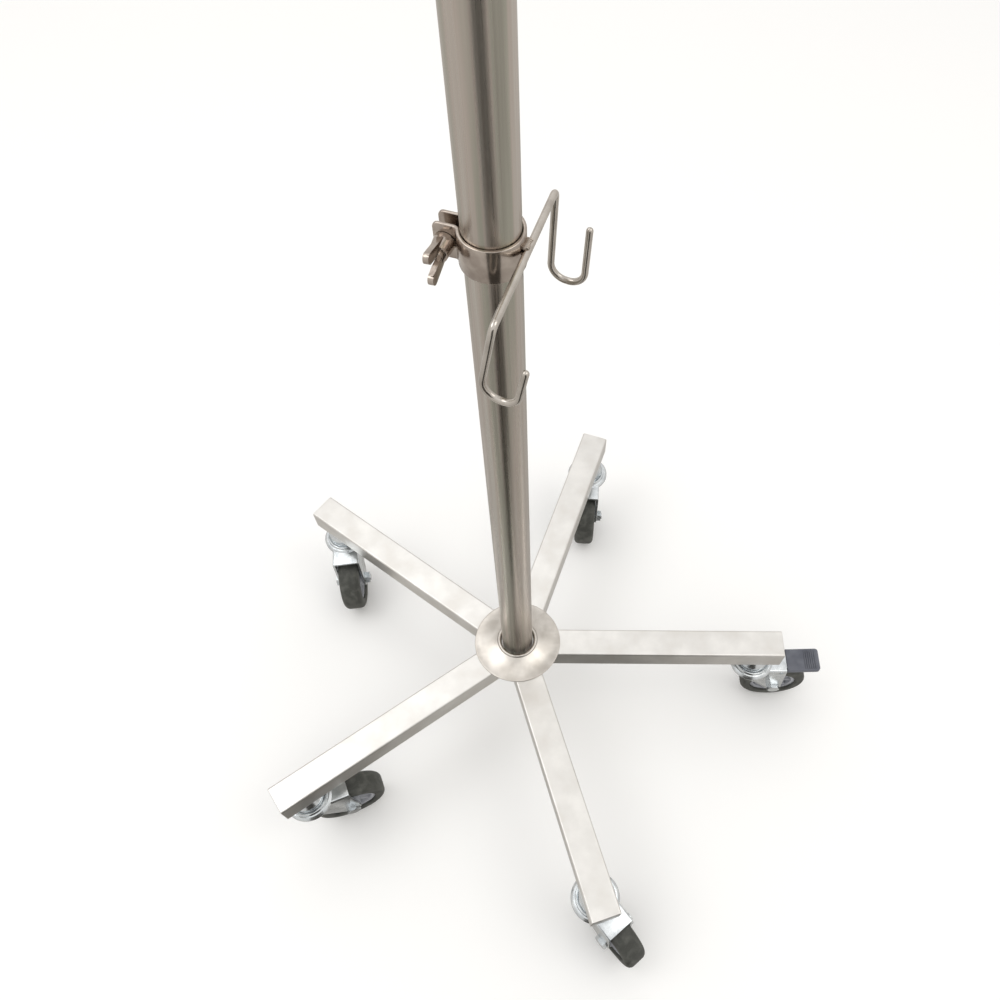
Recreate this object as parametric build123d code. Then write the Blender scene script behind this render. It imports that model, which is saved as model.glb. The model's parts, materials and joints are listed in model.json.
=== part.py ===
from build123d import *

import math
import os

# Infusion stand: a telescoping steel pole on a five-arm base with swivel casters, and a clamp
# with a double wire hook that slides on the pole. Millimetres, +Z up. The origin is on the
# pole's axis at floor level, and arm 1, the one with the braked caster, points along +X.

# ---------------------------------------------------------------- clearances
SEAT = 0.03          # between pieces that sit on each other in one body
RUNNING = 0.06       # radial, between a shaft and the hole it turns in
FREE = 0.3           # between round faces that slide or pass without touching
DRILL = 0.1          # radial, of a drilled hole over its bolt
HEAD_TO_BAND = 0.05  # clamp screw's head to the band's outside
OVERRUN = 1.0        # how far a cutting tool runs past what it cuts

# ---------------------------------------------------------------- base
ARMS = 5
BASE_RADIUS = 290.0          # pole axis to an arm's closed end
ARM_WIDTH = 30.0
ARM_HEIGHT = 27.0
ARM_WALL = 1.5
ARM_CORNER = 2.0             # outer corner radius of the box tube
ARM_INNER_CORNER = 0.3       # its inside corners are never sharper
END_PLATE = 2.0
END_PLATE_ROUND = 0.8        # radius ground on its outer edges
HUB_DIAMETER = 54.0
HUB_FLOOR = 8.0              # web under the pole
COVER_DIAMETER = 92.0
COVER_RISE = 7.2             # rim to the foot of the lip
COVER_LIP_RISE = 1.4
COVER_HOLLOW = 0.36          # share of its rise reached halfway in: it is hollow, not a cone
COVER_LIP_WIDTH = 3.4
COVER_GAP = 1.4              # open ring between the cover's lip and the pole
COVER_SHEET = 1.2
BASE_BOLT = 10.0
BASE_BOLT_FLAT = 16.0
BASE_BOLT_HEAD = 6.4
BASE_WASHER = (28.0, 2.0)    # diameter, thickness
PLUG_LENGTH = 22.0

# ---------------------------------------------------------------- poles
POLE_DIAMETER = 32.0
POLE_WALL = 1.5
POLE_TOP = 1100.0            # outer pole's open end above the floor
MAST_DIAMETER = 25.0
MAST_WALL = 1.2
MAST_FOOT = 190.0            # inner pole's lower end above the floor, lowered
MAST_STANDS_OUT = 45.0       # inner pole above the lock collar, lowered
BUSH_LENGTH = 30.0
BUSH_FLANGE = 3.0            # its thickness under the inner pole's end
COLLAR_WALL = 4.5            # lock collar over the outer pole, at its widest
COLLAR_NECK_WALL = 1.5
COLLAR_SOCKET = 34.0         # length of the collar that holds the outer pole
COLLAR_CHAMFER = 5.0         # length of the taper at its top
COLLAR_EDGE = 1.0
COLLAR_HEAD = 30.0           # length of the collar above the outer pole
COLLAR_BOSS = 17.0           # diameter of the lock screw's boss
COLLAR_BOSS_LENGTH = 7.5     # it stands out of the collar
KNOB_DIAMETER = 38.0
KNOB_THICKNESS = 15.0
KNOB_LOBES = 5
KNOB_NECK = 6.0              # between the boss and the knob's body
KNOB_NECK_DIAMETER = 19.0
KNOB_EDGE = 1.3              # the step of its rounded edge
KNOB_DEPTH = 9.0             # length of screw moulded into it
KNOB_LOBE_SHARE = 0.31       # circle of the lobes' centres, as a share of the diameter
KNOB_SCREW = 8.0
KNOB_YAW = 0.0

# ---------------------------------------------------------------- bag hooks at the top
HOOKS = 4
HOOK_YAW = 45.0
HOOK_ROD = 6.0
HOOK_REACH = 58.0            # pole axis to the hook's inner leg
HOOK_DROP = 34.0
HOOK_GAP = 24.0              # between the centre lines of its two legs
HOOK_TIP_RISE = 24.0         # its tip above its lowest point
HOOK_BALL = 9.0
HOOK_BEND = 10.0
HEAD_DIAMETER = 32.0
HEAD_HEIGHT = 34.0
HEAD_SOCKET = 18.0
HEAD_EDGE = 2.0              # the step of its rounded edges
HOOK_SEAT = 5.0              # depth of a hook's hole in the head

# ---------------------------------------------------------------- hook clamp on the pole
CLAMP_LOW = 660.7            # lower edge of its band above the floor
CLAMP_YAW = -16.8            # direction of the wire's weld; the ears are opposite
BAND_HEIGHT = 21.2
BAND_SHEET = 2.0
EAR_LENGTH = 12.2            # band's outside to the ears' ends
EAR_SPACING = 9.0            # between the ears' middle planes
EAR_CORNER = 3.0
SCREW_DIAMETER = 6.0
SCREW_HEAD = (13.0, 3.6)     # diameter, height of the round head
SCREW_BEYOND_NUT = 2.0
WIRE_DIAMETER = 4.2
WIRE_LEVEL = 13.8            # wire's centre line above the band's lower edge
WIRE_BEND = 4.2
WIRE_HOOK_WIDTH = 21.5
# each hook's reach from the weld, long leg, short leg, outward lean and turn
NEAR_HOOK = (58.2, 50.8, 30.0, 11.0, -6.0)
FAR_HOOK = (46.5, 60.5, 41.0, 2.5, -4.0)
NUT_BASE = 12.0              # wing nut's largest diameter
NUT_NOSE = 10.4
NUT_BARREL = 10.0
NUT_BASE_STEP = 1.2          # height of the straight foot of its barrel
WING_ROOT = 3.0              # radius of a wing where it leaves the barrel
WING_SPAN = 13.6             # between the centres of the wings' round tips
WING_RISE = 21.0             # nut's base to the centre of a wing's tip
WING_TIP = 3.0               # radius of a wing's tip
WING_SHEET = 3.2
WING_TURN = 4.0              # how far the wings stand off upright

# ---------------------------------------------------------------- casters
WHEEL_DIAMETER = 75.0
WHEEL_WIDTH = 24.0
TREAD_SHOULDER = 6.0
RIM_DIAMETER = 52.0
RIM_WIDTH = 18.0
RIM_RING = 4.0
RIM_WEB = 3.0
RIM_RIBS = 10
RIB_THICKNESS = 1.6
RIB_WIDTH = 15.0
RIM_HUB_DIAMETER = 19.0
SWIVEL_FROM_END = 25.0       # arm's closed end to a caster's swivel axis
TRAIL = 34.0                 # swivel axis to axle axis
TRAIL_TURN = (0.5, -165.0, 133.0, 167.0, 21.0)   # wheel's side of the swivel, from its arm's way out
FORK_SHEET = 2.5
FORK_SIDE_PLAY = 1.0         # tyre to each side plate
FORK_HEADROOM = 8.0          # tyre to the fork's flat plate
FORK_BACK = 39.0             # swivel axis to the plate's rear edge
FORK_FRONT = 16.0
FORK_EDGE = 5.0              # straight edge at the side plates' rear
AXLE_BOSS = 18.0
CROWN_DIAMETER = 49.0
CROWN_RISE = 7.0             # raceway above the crown's rim
CROWN_LIP = 3.0              # depth of its rim
CROWN_RACE_WALL = 1.6        # flat of the raceway outside the balls
STEM_DIAMETER = 10.0
STEM_HEAD = (16.0, 4.6)
STEM_CHAMFER = 1.5
STEM_NUT = (17.0, 8.0)       # width across flats, height
RACE_DIAMETER = 34.0
RACE_EDGE = 1.0              # the step of its rounded edges
SWIVEL_STACK = 12.9          # crown's raceway to the arm's underside
BALL_DIAMETER = 5.0
BALL_CIRCLE = 22.0
BALLS = 12
BALL_SINK = 1.2              # depth of the crown's raceway groove
AXLE_DIAMETER = 8.0
AXLE_FLAT = 13.0
AXLE_HEAD = 4.2
AXLE_NUT = 5.2
AXLE_BEYOND_NUT = 1.2
SLEEVE_DIAMETER = 12.0
HUB_SIDE_PLAY = 0.7          # wheel hub to each side plate

# ---------------------------------------------------------------- brake on caster 1
PEDAL_START = 41.0           # swivel axis to the pedal's inner edge
PEDAL_LENGTH = 37.0
PEDAL_WIDTH = 26.5
PEDAL_THICKNESS = 5.5
PEDAL_CORNER = 3.5
PEDAL_TILT = 4.0             # outer end up, brake off
PEDAL_RIBS = 6
PEDAL_RIB_PITCH = 2.3
PEDAL_RIB_MARGIN = 4.5       # outer edge to the first rib
PEDAL_EDGE = 0.8             # radius round its upper face
PEDAL_RIB = (1.1, 0.7)       # width, height
PIN_DIAMETER = 4.0
PIN_STANDS_OUT = 0.8         # past each side plate
PIN_ABOVE_TYRE = 4.3
CAM_REACH = 3.9              # pivot to the cam's corner
CAM_BODY = 3.1               # radius of the lever round its pin
CAM_CORNER = 0.6             # radius of that corner
PEDAL_TRAVEL = 16.0          # brake off to brake on
CAM_SHORT = 6.0              # brake on, the cam's corner stops short of straight down
CAM_SIDE_PLAY = 3.0          # cam to each side plate
TONGUE = (18.0, 12.0, 2.5)   # width, length inside the pedal, thickness

# ---------------------------------------------------------------- worked out
AXLE_LEVEL = WHEEL_DIAMETER / 2
SWIVEL_RADIUS = BASE_RADIUS - SWIVEL_FROM_END
FORK_GAP = WHEEL_WIDTH + 2 * FORK_SIDE_PLAY
FORK_WIDTH = FORK_GAP + 2 * FORK_SHEET
PLATE_UNDERSIDE = WHEEL_DIAMETER + FORK_HEADROOM
FORK_TOP = PLATE_UNDERSIDE + FORK_SHEET
RACE_LEVEL = FORK_TOP + CROWN_RISE
CROWN_RACE = (BALL_CIRCLE + BALL_DIAMETER) / 2 + CROWN_RACE_WALL
BALL_LEVEL = RACE_LEVEL + BALL_DIAMETER / 2 - BALL_SINK
UNDERSIDE = RACE_LEVEL + SWIVEL_STACK
ARM_TOP = UNDERSIDE + ARM_HEIGHT
POLE_BORE = POLE_DIAMETER - 2 * POLE_WALL
POLE_FOOT = UNDERSIDE + HUB_FLOOR
COLLAR_TOP = POLE_TOP + COLLAR_HEAD
HEAD_FOOT = COLLAR_TOP + MAST_STANDS_OUT
MAST_TOP = HEAD_FOOT + HEAD_SOCKET
BAND_INNER = POLE_DIAMETER / 2 + FREE
BAND_OUTER = BAND_INNER + BAND_SHEET
EAR_FACE = (EAR_SPACING + BAND_SHEET) / 2
EAR_REACH = BAND_OUTER + EAR_LENGTH
SCREW_FROM_AXIS = math.sqrt(BAND_OUTER ** 2 - EAR_FACE ** 2) + SCREW_HEAD[0] / 2 + HEAD_TO_BAND
COLLAR_RADIUS = POLE_DIAMETER / 2 + COLLAR_WALL
BOSS_FACE = COLLAR_RADIUS + COLLAR_BOSS_LENGTH
KNOB_LOW = BOSS_FACE + KNOB_NECK
PIN_LEVEL = WHEEL_DIAMETER + PIN_ABOVE_TYRE
CAM_START = -(PEDAL_TRAVEL + CAM_SHORT)


# ---------------------------------------------------------------- helpers
def turned(points):
    """Solid of revolution about Z from a closed outline of (radius, height) points."""
    return revolve(Plane.XZ * make_face(Polyline(*points, close=True)), Axis.Z)


def tube(outer, inner, low, high):
    """Upright tube from two diameters and two levels."""
    return extrude(Pos(0, 0, low) * (Circle(outer / 2) - Circle(inner / 2)), high - low)


def rod(diameter, low, high):
    """Upright round bar between two levels."""
    return extrude(Pos(0, 0, low) * Circle(diameter / 2), high - low)


def hexagon(flat, low, high):
    """Upright hexagonal bar, from its width across flats and two levels."""
    return extrude(Pos(0, 0, low) * RegularPolygon(flat / math.sqrt(3), 6), high - low)


def chamfered_hexagon(flat, low, high):
    """Hexagonal head whose upper corners are turned off."""
    corner = flat / math.sqrt(3)
    chamfer = (corner - flat / 2) / 2
    envelope = turned([(0, low), (corner, low), (corner, high - chamfer), (flat / 2, high), (0, high)])
    return hexagon(flat, low, high) & envelope


def round_wire(points, radii, diameter):
    """Round bar bent along a line of points, its ends rounded over."""
    path = FilletPolyline(*points, radius=radii)
    bar = sweep(Plane(origin=path @ 0, z_dir=path % 0) * Circle(diameter / 2), path=path)
    for end in (path @ 0, path @ 1):
        bar += Pos(*end) * Sphere(diameter / 2)
    return bar


def around(count, start, shape):
    """Copies of a shape spread evenly about Z."""
    return [Rot(0, 0, start + k * 360 / count) * shape for k in range(count)]


def save(name, *solids):
    """Write one node, as a single solid or as a group of separate solids."""
    parts = [piece for shape in solids for piece in shape.solids()]
    export_step(parts[0] if len(parts) == 1 else Compound(parts), f"parts/{name}.step")


# ---------------------------------------------------------------- base pieces
def base_hub():
    """Round block that the arms are welded to, bored for the pole from above."""
    body = rod(HUB_DIAMETER, UNDERSIDE, ARM_TOP)
    body -= rod(POLE_DIAMETER + 2 * SEAT, POLE_FOOT, ARM_TOP + OVERRUN)
    return body - rod(BASE_BOLT + 2 * DRILL, UNDERSIDE - OVERRUN, POLE_FOOT + OVERRUN)


def arm_section(inset):
    """Outline of an arm's box tube, or of its hollow."""
    corner = max(ARM_CORNER - inset, ARM_INNER_CORNER)
    outline = RectangleRounded(ARM_WIDTH - 2 * inset, ARM_HEIGHT - 2 * inset, corner)
    return Plane.YZ * Pos(0, UNDERSIDE + ARM_HEIGHT / 2) * outline


def base_arm():
    """Box tube along +X, cut round to meet the hub, with a hole for the caster's stem."""
    length = BASE_RADIUS - END_PLATE - SEAT
    arm = extrude(arm_section(0) - arm_section(ARM_WALL), length)
    arm -= rod(HUB_DIAMETER + 2 * SEAT, 0, ARM_TOP + OVERRUN)
    hole = rod(STEM_DIAMETER + 2 * DRILL, UNDERSIDE - OVERRUN, UNDERSIDE + ARM_HEIGHT / 2)
    return arm - Pos(SWIVEL_RADIUS, 0, 0) * hole


def arm_end_plate():
    """Plate that closes an arm's outer end, its outer edges ground round."""
    plate = Pos(BASE_RADIUS - END_PLATE, 0, 0) * extrude(arm_section(0), END_PLATE)
    return fillet(plate.faces().sort_by(Axis.X)[-1].edges(), END_PLATE_ROUND)


def pole_cover():
    """Shallow spun flange that hides the hub, with a rolled lip round the pole."""
    rim = COVER_DIAMETER / 2
    hole = POLE_DIAMETER / 2 + COVER_GAP
    foot = hole + COVER_LIP_WIDTH
    low = ARM_TOP + SEAT
    crest = low + COVER_RISE + COVER_LIP_RISE
    middle = (rim + foot) / 2
    sag = low + COVER_RISE * COVER_HOLLOW
    edge = COVER_SHEET / 2
    top = [(rim, low + edge), (rim - edge, low + COVER_SHEET), (middle, sag + COVER_SHEET),
           (foot, low + COVER_RISE), (foot - edge, crest - edge), (foot - 2 * edge, crest),
           (hole + edge, crest), (hole, crest - edge)]
    under = [(hole, low + COVER_RISE - COVER_SHEET), (foot - edge, low + COVER_RISE - COVER_SHEET),
             (middle, sag), (rim - edge, low), (rim, low)]
    return turned(top + under)


def outer_pole():
    """Lower pole, open at the top."""
    return tube(POLE_DIAMETER, POLE_BORE, POLE_FOOT + SEAT, POLE_TOP)


def pole_plug():
    """Threaded plug welded inside the pole's foot."""
    return tube(POLE_BORE - 2 * DRILL, BASE_BOLT + 2 * SEAT, POLE_FOOT + SEAT, POLE_FOOT + PLUG_LENGTH)


def base_washer():
    """Plain washer under the hub."""
    diameter, thickness = BASE_WASHER
    return tube(diameter, BASE_BOLT + 2 * DRILL, UNDERSIDE - SEAT - thickness, UNDERSIDE - SEAT)


def base_bolt():
    """Bolt that pulls the pole down into the hub."""
    seat = UNDERSIDE - 2 * SEAT - BASE_WASHER[1]
    head = Rot(180, 0, 0) * chamfered_hexagon(BASE_BOLT_FLAT, -seat, BASE_BOLT_HEAD - seat)
    return head + rod(BASE_BOLT, seat, POLE_FOOT + PLUG_LENGTH - BASE_WASHER[1])


# ---------------------------------------------------------------- height lock and mast
def lock_level():
    """Height of the lock screw, halfway up the collar's head."""
    return POLE_TOP + COLLAR_HEAD / 2


def along_lock(shape):
    """Lay a shape, drawn upright, along the lock screw's axis."""
    return Rot(0, 0, KNOB_YAW) * Pos(0, 0, lock_level()) * Rot(0, 90, 0) * shape


def lock_collar():
    """Collar on the outer pole's end, with a side boss for the lock screw."""
    low = POLE_TOP - COLLAR_SOCKET
    wide, neck = COLLAR_RADIUS, POLE_DIAMETER / 2 + COLLAR_NECK_WALL
    shoulder = 2 * (wide - neck)
    body = turned([(0, low), (neck, low), (neck, low + shoulder), (wide, low + 2 * shoulder),
                   (wide, COLLAR_TOP - COLLAR_CHAMFER), (neck, COLLAR_TOP - COLLAR_EDGE),
                   (neck - COLLAR_EDGE, COLLAR_TOP), (0, COLLAR_TOP)])
    body += along_lock(rod(COLLAR_BOSS, 0, BOSS_FACE))
    body -= rod(POLE_DIAMETER + 2 * SEAT, low - OVERRUN, POLE_TOP + SEAT)
    body -= rod(MAST_DIAMETER + 2 * FREE, low - OVERRUN, COLLAR_TOP + OVERRUN)
    return body - along_lock(rod(KNOB_SCREW + 2 * RUNNING, 0, BOSS_FACE + OVERRUN))


def lock_screw():
    """Threaded pin that bears on the inner pole when the knob is tightened."""
    return along_lock(rod(KNOB_SCREW, MAST_DIAMETER / 2 + FREE, KNOB_LOW + KNOB_DEPTH))


def lock_knob():
    """Moulded hand knob with round lobes and a neck towards the boss."""
    neck_low = BOSS_FACE + FREE
    high = KNOB_LOW + KNOB_THICKNESS
    wide = KNOB_DIAMETER / 2
    lobe_circle = KNOB_DIAMETER * KNOB_LOBE_SHARE
    outline = Circle(lobe_circle)
    for place in PolarLocations(lobe_circle, KNOB_LOBES):
        outline += place * Circle(wide - lobe_circle)
    body = extrude(Pos(0, 0, KNOB_LOW) * outline, KNOB_THICKNESS)
    body &= turned([(0, KNOB_LOW), (wide - KNOB_EDGE, KNOB_LOW), (wide, KNOB_LOW + KNOB_EDGE),
                    (wide, high - 3 * KNOB_EDGE), (wide - KNOB_EDGE, high - 1.5 * KNOB_EDGE),
                    (wide - 3 * KNOB_EDGE, high), (0, high)])
    body += turned([(0, neck_low), (KNOB_NECK_DIAMETER / 2 - 2, neck_low),
                    (KNOB_NECK_DIAMETER / 2, KNOB_LOW + KNOB_EDGE), (0, KNOB_LOW + KNOB_EDGE)])
    bore = rod(KNOB_SCREW + 2 * SEAT, neck_low - OVERRUN, KNOB_LOW + KNOB_DEPTH + SEAT)
    return along_lock(body - bore)


def inner_pole():
    """Upper pole that slides inside the lower one."""
    return tube(MAST_DIAMETER, MAST_DIAMETER - 2 * MAST_WALL, MAST_FOOT, MAST_TOP - SEAT)


def guide_bush():
    """Moulded ring on the inner pole's foot that centres it in the outer pole."""
    across = POLE_BORE - 2 * FREE
    sleeve = tube(across, MAST_DIAMETER + 2 * SEAT, MAST_FOOT - BUSH_FLANGE, MAST_FOOT + BUSH_LENGTH)
    flange = tube(across, MAST_DIAMETER - 4 * MAST_WALL, MAST_FOOT - BUSH_FLANGE, MAST_FOOT - SEAT)
    return sleeve + flange


def hook_level():
    """Height of the hooks' bars, above the socket for the inner pole."""
    return HEAD_FOOT + HEAD_SOCKET + HOOK_ROD


def hook_head():
    """Turned cap on the inner pole, drilled for the hooks."""
    wide = HEAD_DIAMETER / 2
    high = HEAD_FOOT + HEAD_HEIGHT
    cap = turned([(0, HEAD_FOOT), (wide - HEAD_EDGE, HEAD_FOOT), (wide, HEAD_FOOT + HEAD_EDGE),
                  (wide, high - 3 * HEAD_EDGE), (wide - HEAD_EDGE, high - HEAD_EDGE),
                  (wide - 3 * HEAD_EDGE, high), (0, high)])
    cap -= rod(MAST_DIAMETER + 2 * SEAT, HEAD_FOOT - OVERRUN, HEAD_FOOT + HEAD_SOCKET)
    drill = Rot(0, 90, 0) * rod(HOOK_ROD + 2 * SEAT, 0, HEAD_DIAMETER)
    for hole in around(HOOKS, HOOK_YAW, Pos(wide - HOOK_SEAT, 0, hook_level()) * drill):
        cap -= hole
    return cap


def bag_hook():
    """One bag hook along +X: a bar out of the head, bent down, round and up to a ball."""
    level = hook_level()
    bottom = level - HOOK_DROP
    bend = HOOK_GAP * 0.47
    start = (HEAD_DIAMETER / 2 - HOOK_SEAT + SEAT, 0, level)
    points = [start, (HOOK_REACH, 0, level), (HOOK_REACH, 0, bottom),
              (HOOK_REACH + HOOK_GAP, 0, bottom), (HOOK_REACH + HOOK_GAP, 0, bottom + HOOK_TIP_RISE)]
    path = FilletPolyline(*points, radius=[HOOK_BEND, bend, bend])
    bar = sweep(Plane(origin=path @ 0, z_dir=path % 0) * Circle(HOOK_ROD / 2), path=path)
    return bar + Pos(*points[-1]) * Sphere(HOOK_BALL / 2)


# ---------------------------------------------------------------- hook clamp
def on_pole(shape):
    """Place a clamp piece, drawn with its band's lower edge at zero and its weld on +X."""
    return Pos(0, 0, CLAMP_LOW) * Rot(0, 0, CLAMP_YAW) * shape


def across_ears(shape):
    """Lay a shape, drawn upright, along the clamp screw; its +Z leaves the wing nut's side."""
    return Pos(-SCREW_FROM_AXIS, 0, BAND_HEIGHT / 2) * Rot(90, 0, 0) * shape


def clamp_band():
    """Sheet band round the pole, ending in two flat ears."""
    ring = tube(2 * BAND_OUTER, 2 * BAND_INNER, 0, BAND_HEIGHT)
    mouth = EAR_SPACING - BAND_SHEET
    ring -= Pos(-BAND_OUTER, 0, BAND_HEIGHT / 2) * Box(2 * BAND_OUTER, mouth, BAND_HEIGHT + 2 * OVERRUN)
    root = math.sqrt(BAND_INNER ** 2 - (mouth / 2) ** 2)
    for side in (-1, 1):
        ear = Pos(-(root + EAR_REACH) / 2, side * EAR_SPACING / 2, BAND_HEIGHT / 2) \
            * Box(EAR_REACH - root, BAND_SHEET, BAND_HEIGHT)
        ear = fillet(ear.edges().filter_by(Axis.Y).group_by(Axis.X)[0], EAR_CORNER)
        ring += ear
    return on_pole(ring - across_ears(rod(SCREW_DIAMETER + 2 * DRILL, -EAR_REACH, EAR_REACH)))


def nut_base():
    """Distance of the wing nut's base from the middle between the ears."""
    return EAR_FACE + FREE


def clamp_screw():
    """Round-headed screw through both ears."""
    diameter, height = SCREW_HEAD
    wide = diameter / 2
    seat = -EAR_FACE - SEAT
    crown_low = seat - height
    head = turned([(0, crown_low), (wide * 0.55, crown_low + height * 0.1),
                   (wide * 0.86, crown_low + height * 0.35), (wide, crown_low + height * 0.7),
                   (wide, seat), (0, seat)])
    shank = rod(SCREW_DIAMETER, seat - height / 2, nut_base() + NUT_BARREL + SCREW_BEYOND_NUT)
    return on_pole(across_ears(head + shank))


def wing_nut():
    """Wing nut: a tapered barrel with two flared wings that end in round tips."""
    base = nut_base()
    barrel = turned([(0, base), (NUT_BASE / 2, base), (NUT_BASE / 2, base + NUT_BASE_STEP),
                     (NUT_NOSE / 2, base + NUT_BARREL), (0, base + NUT_BARREL)])
    root = Pos(NUT_NOSE / 2 - WING_ROOT * 0.6, base + NUT_BARREL * 0.55) * Circle(WING_ROOT)
    tip = Pos(WING_SPAN / 2, base + WING_RISE) * Circle(WING_TIP)
    wing = extrude(Plane.XZ * make_hull(root.edges() + tip.edges()), WING_SHEET / 2, both=True)
    nut = barrel + wing + Rot(0, 0, 180) * wing
    nut -= rod(SCREW_DIAMETER + 2 * RUNNING, base - OVERRUN, base + WING_RISE + 2 * WING_TIP)
    # across_ears turns the drawing's Y upright, so the wings start along Y
    return on_pole(across_ears(Rot(0, 0, 90 + WING_TURN) * nut))


def wire_hook(corner, long_leg, short_leg, lean, twist):
    """Points of a hook from its bar's end, down the long leg, across, and up the short leg."""
    low = -long_leg
    offsets = [(0, 0, 0), (0, 0, low), (WIRE_HOOK_WIDTH, 0, low), (WIRE_HOOK_WIDTH, 0, low + short_leg)]
    return [corner + Vector(*offset).rotate(Axis.Z, twist).rotate(Axis.Y, lean) for offset in offsets]


def hook_wire():
    """Bent wire with a bar across the pole and an open hook at each end."""
    out = BAND_OUTER + WIRE_DIAMETER / 2 + SEAT
    near = wire_hook(Vector(out, -NEAR_HOOK[0], WIRE_LEVEL), *NEAR_HOOK[1:])
    far = wire_hook(Vector(out, FAR_HOOK[0], WIRE_LEVEL), *FAR_HOOK[1:])
    bottom = WIRE_HOOK_WIDTH * 0.47     # nearly a half circle, with a short straight between its corners
    radii = [bottom, bottom, WIRE_BEND, WIRE_BEND, bottom, bottom]
    return on_pole(round_wire(near[::-1] + far, radii, WIRE_DIAMETER))


def caster_stem():
    """Threaded kingpin: a flat head under the crown, a shank up into the arm."""
    high = RACE_LEVEL - FORK_SHEET - FREE
    low = high - STEM_HEAD[1]
    wide = STEM_HEAD[0] / 2
    head = turned([(0, low), (wide - STEM_CHAMFER, low), (wide, low + STEM_CHAMFER),
                   (wide, high), (0, high)])
    return head + rod(STEM_DIAMETER, low, UNDERSIDE + ARM_WALL + STEM_NUT[1] + 2 * STEM_CHAMFER)


def stem_nut():
    """Nut on the stem, inside the arm."""
    flat, height = STEM_NUT
    low = UNDERSIDE + ARM_WALL + SEAT
    nut = chamfered_hexagon(flat, low, low + height)
    return nut - rod(STEM_DIAMETER + 2 * SEAT, UNDERSIDE, ARM_TOP)


def ball_groove(clearance):
    """Ring-shaped tool that leaves a clearance all round the balls."""
    return Pos(0, 0, BALL_LEVEL) * Torus(BALL_CIRCLE / 2, BALL_DIAMETER / 2 + clearance)


def top_race():
    """Fixed pressed cup under the arm that runs on the balls."""
    wide = RACE_DIAMETER / 2
    low = BALL_LEVEL + BALL_SINK * 0.6
    high = UNDERSIDE - SEAT
    cup = turned([(0, low), (wide - RACE_EDGE, low), (wide, low + RACE_EDGE),
                  (wide, low + 3.5 * RACE_EDGE), (wide - 3 * RACE_EDGE, high - 1.5 * RACE_EDGE),
                  (wide - 3.6 * RACE_EDGE, high), (0, high)])
    return cup - rod(STEM_DIAMETER + 2 * SEAT, low - OVERRUN, UNDERSIDE) - ball_groove(FREE)


def ball_ring():
    """The swivel's steel balls."""
    return around(BALLS, 0, Pos(BALL_CIRCLE / 2, 0, BALL_LEVEL) * Sphere(BALL_DIAMETER / 2))


def crown():
    """Pressed round top of the fork: a raised raceway with stepped rings round it."""
    rim = CROWN_DIAMETER / 2
    step = (rim - CROWN_RACE) / 4
    drop = CROWN_RISE / 4
    hole = STEM_DIAMETER / 2 + FREE
    under_rim = FORK_TOP - CROWN_LIP
    web = FORK_SHEET * 0.8
    # steps across and drops below the raceway, from its edge out to the rim
    rings = [(0, 0), (0.5, 2), (1.1, 2), (1.4, 1.5), (1.9, 1.5), (2.3, 3), (2.9, 3)]
    top = [(hole, RACE_LEVEL)]
    top += [(CROWN_RACE + across * step, RACE_LEVEL - down * drop) for across, down in rings]
    top += [(rim - step * 0.2, FORK_TOP - SEAT), (rim, FORK_TOP - CROWN_LIP / 3)]
    under = [(rim, under_rim), (rim - step / 2, under_rim),
             (CROWN_RACE + step * 1.2, RACE_LEVEL - 3 * drop - web),
             (CROWN_RACE - step * 0.2, RACE_LEVEL - 2 * drop - web),
             (CROWN_RACE - step / 2, RACE_LEVEL - FORK_SHEET), (hole, RACE_LEVEL - FORK_SHEET)]
    return turned(top + under) - ball_groove(SEAT)


def swivel_fork():
    """Stamped fork: round crown, flat plate over the wheel and two tapering side plates."""
    plate = [(-FORK_FRONT, FORK_TOP), (FORK_BACK, FORK_TOP), (FORK_BACK, FORK_TOP - FORK_EDGE),
             (-FORK_FRONT, FORK_TOP - FORK_EDGE)]
    boss = Pos(TRAIL, AXLE_LEVEL) * Circle(AXLE_BOSS / 2)
    outline = make_hull(Polyline(*plate, close=True).edges() + boss.edges())
    fork = extrude(Plane.XZ * outline, FORK_WIDTH / 2, both=True)
    fork -= Pos(TRAIL, 0, PLATE_UNDERSIDE / 2) * Box(4 * WHEEL_DIAMETER, FORK_GAP, PLATE_UNDERSIDE)
    bends = fork.edges().filter_by(Axis.X).group_by(Axis.Z)[-1]
    fork = fillet(bends, FORK_SHEET * 0.9)
    fork -= rod(2 * CROWN_RACE - STEM_CHAMFER, 0, RACE_LEVEL + OVERRUN)
    fork += crown()
    return fork - across_fork(AXLE_DIAMETER + 2 * DRILL, FORK_WIDTH + 2 * OVERRUN)


def across_fork(diameter, length):
    """Round bar on the axle's line, across the fork."""
    return Pos(TRAIL, 0, AXLE_LEVEL) * Rot(90, 0, 0) * rod(diameter, -length / 2, length / 2)


def beside_fork(side, shape):
    """Lay a shape, drawn upright, along the axle on one side of the fork, from its middle outwards."""
    return Pos(TRAIL, 0, AXLE_LEVEL) * Rot(side * 90, 0, 0) * shape


def axle_bolt():
    """Hexagon bolt through the fork and the wheel."""
    seat = FORK_WIDTH / 2 + SEAT
    head = chamfered_hexagon(AXLE_FLAT, seat, seat + AXLE_HEAD)
    shank = rod(AXLE_DIAMETER, -seat - AXLE_NUT - AXLE_BEYOND_NUT, seat + AXLE_HEAD / 2)
    return beside_fork(1, head + shank)


def axle_nut():
    """Lock nut on the far end of the axle bolt."""
    seat = FORK_WIDTH / 2 + SEAT
    nut = chamfered_hexagon(AXLE_FLAT, seat, seat + AXLE_NUT)
    return beside_fork(-1, nut - rod(AXLE_DIAMETER + 2 * SEAT, 0, 2 * seat))


def axle_sleeve():
    """Spacer tube that the wheel turns on, held between the side plates."""
    sleeve = across_fork(SLEEVE_DIAMETER, FORK_GAP - 2 * SEAT)
    return sleeve - across_fork(AXLE_DIAMETER + 2 * DRILL, FORK_GAP + OVERRUN)


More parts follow.
